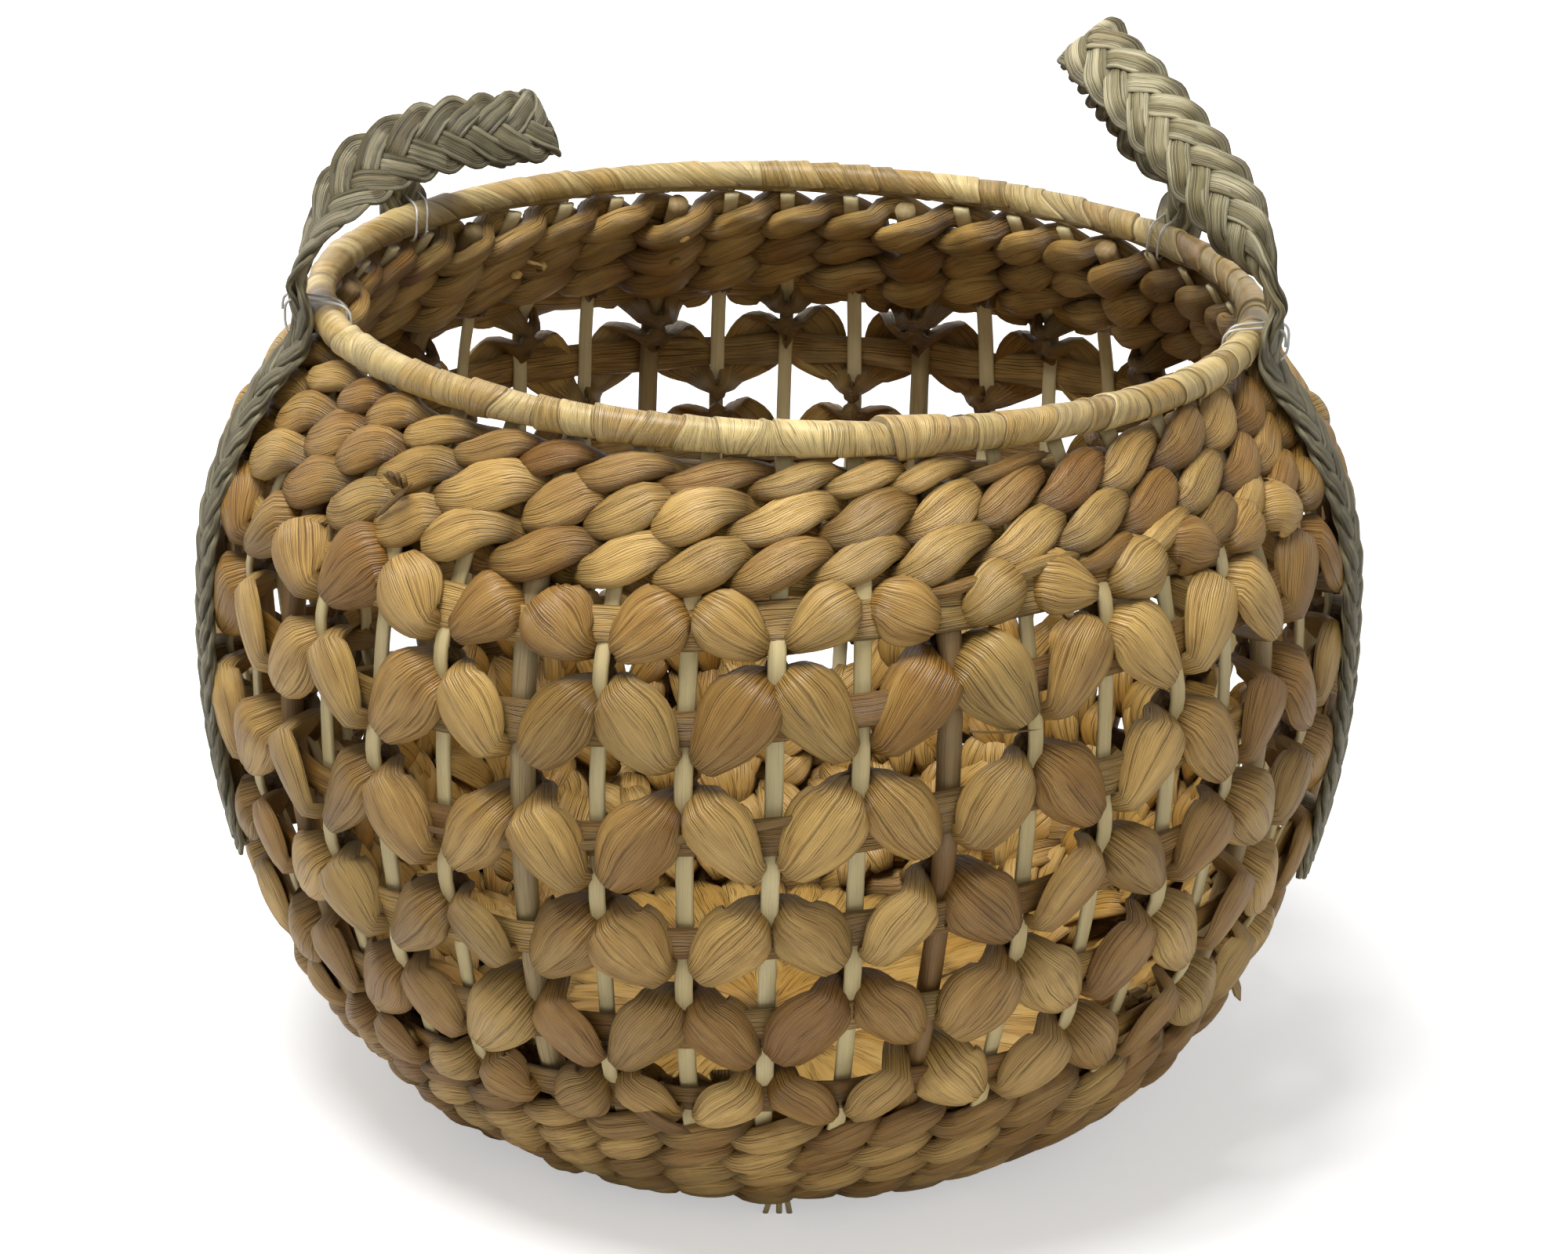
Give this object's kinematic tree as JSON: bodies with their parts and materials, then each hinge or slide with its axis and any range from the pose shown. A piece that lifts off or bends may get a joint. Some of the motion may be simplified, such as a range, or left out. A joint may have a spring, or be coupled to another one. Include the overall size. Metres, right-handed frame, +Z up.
{
  "type": "openwork storage basket",
  "caption": "Round-bellied openwork basket of woven plant fibre on upright stakes, with a bound rim and two hinged strap handles.",
  "frame": {"origin": "centre of the round footprint on the surface the basket stands on", "axes": "+Z up through the mouth, -Y the front between the two handles, +X towards the right handle"},
  "size_m": [0.422, 0.416, 0.4074],
  "materials": {
    "hyacinth": "matt twisted plant fibre",
    "hyacinth_pale": "matt dried leaf",
    "hyacinth_dark": "matt dried leaf",
    "hyacinth_gloss": "satin dried leaf",
    "reed": "satin split reed",
    "cane": "satin cane",
    "seagrass": "matt braided seagrass",
    "thread": "clear thread"
  },
  "bodies": {
    "basket": {"base_sole": "hyacinth_dark", "base_floor": "hyacinth", "cane_01": "cane", "cane_02": "cane", "cane_03": "cane", "cane_04": "cane", "cane_05": "cane", "cane_06": "cane", "cane_07": "cane", "cane_08": "cane", "cane_09": "cane", "cane_10": "cane", "reed_group_01": "reed", "reed_group_02": "reed", "reed_group_03": "reed", "reed_group_04": "reed", "reed_group_05": "reed", "reed_group_06": "reed", "reed_group_07": "reed", "reed_group_08": "reed", "reed_group_09": "reed", "reed_group_10": "reed", "lower_rope_1": "hyacinth", "lower_rope_2": "hyacinth", "lower_rope_3": "hyacinth", "lower_rope_4": "hyacinth", "lower_rope_5": "hyacinth", "lower_back_1": "hyacinth_dark", "lower_back_2": "hyacinth_dark", "openwork_ribbon_1": "hyacinth_dark", "openwork_ribbon_2": "hyacinth_dark", "openwork_ribbon_3": "hyacinth_dark", "openwork_ribbon_4": "hyacinth_dark", "openwork_ribbon_5": "hyacinth_dark", "openwork_ribbon_6": "hyacinth_dark", "openwork_petals_1": "hyacinth_pale", "openwork_petals_2": "hyacinth_pale", "openwork_petals_3": "hyacinth_pale", "openwork_petals_4": "hyacinth_pale", "openwork_petals_5": "hyacinth_pale", "openwork_petals_6": "hyacinth_pale", "upper_rope_1": "hyacinth", "upper_rope_2": "hyacinth", "upper_rope_3": "hyacinth", "upper_back": "hyacinth_dark", "rim_hoop": "cane", "rim_binding": "hyacinth_gloss", "left_front_leg": "seagrass", "left_front_tie": "thread", "left_rear_leg": "seagrass", "left_rear_tie": "thread", "right_front_leg": "seagrass", "right_front_tie": "thread", "right_rear_leg": "seagrass", "right_rear_tie": "thread"},
    "left_loop": {"left_handle_loop": "seagrass"},
    "right_loop": {"right_handle_loop": "seagrass"}
  },
  "joints": [
    {"name": "left_handle_hinge", "type": "hinge", "parent": "basket", "child": "left_loop", "pos_m": [-0.16009, 0.02302, 0.3233], "axis": [-0.1423, -0.9898, 0], "range_deg": [-20, 115]},
    {"name": "right_handle_hinge", "type": "hinge", "parent": "basket", "child": "right_loop", "pos_m": [0.16009, 0.02302, 0.3233], "axis": [-0.1423, 0.9898, 0], "range_deg": [-38, 112]}
  ]
}
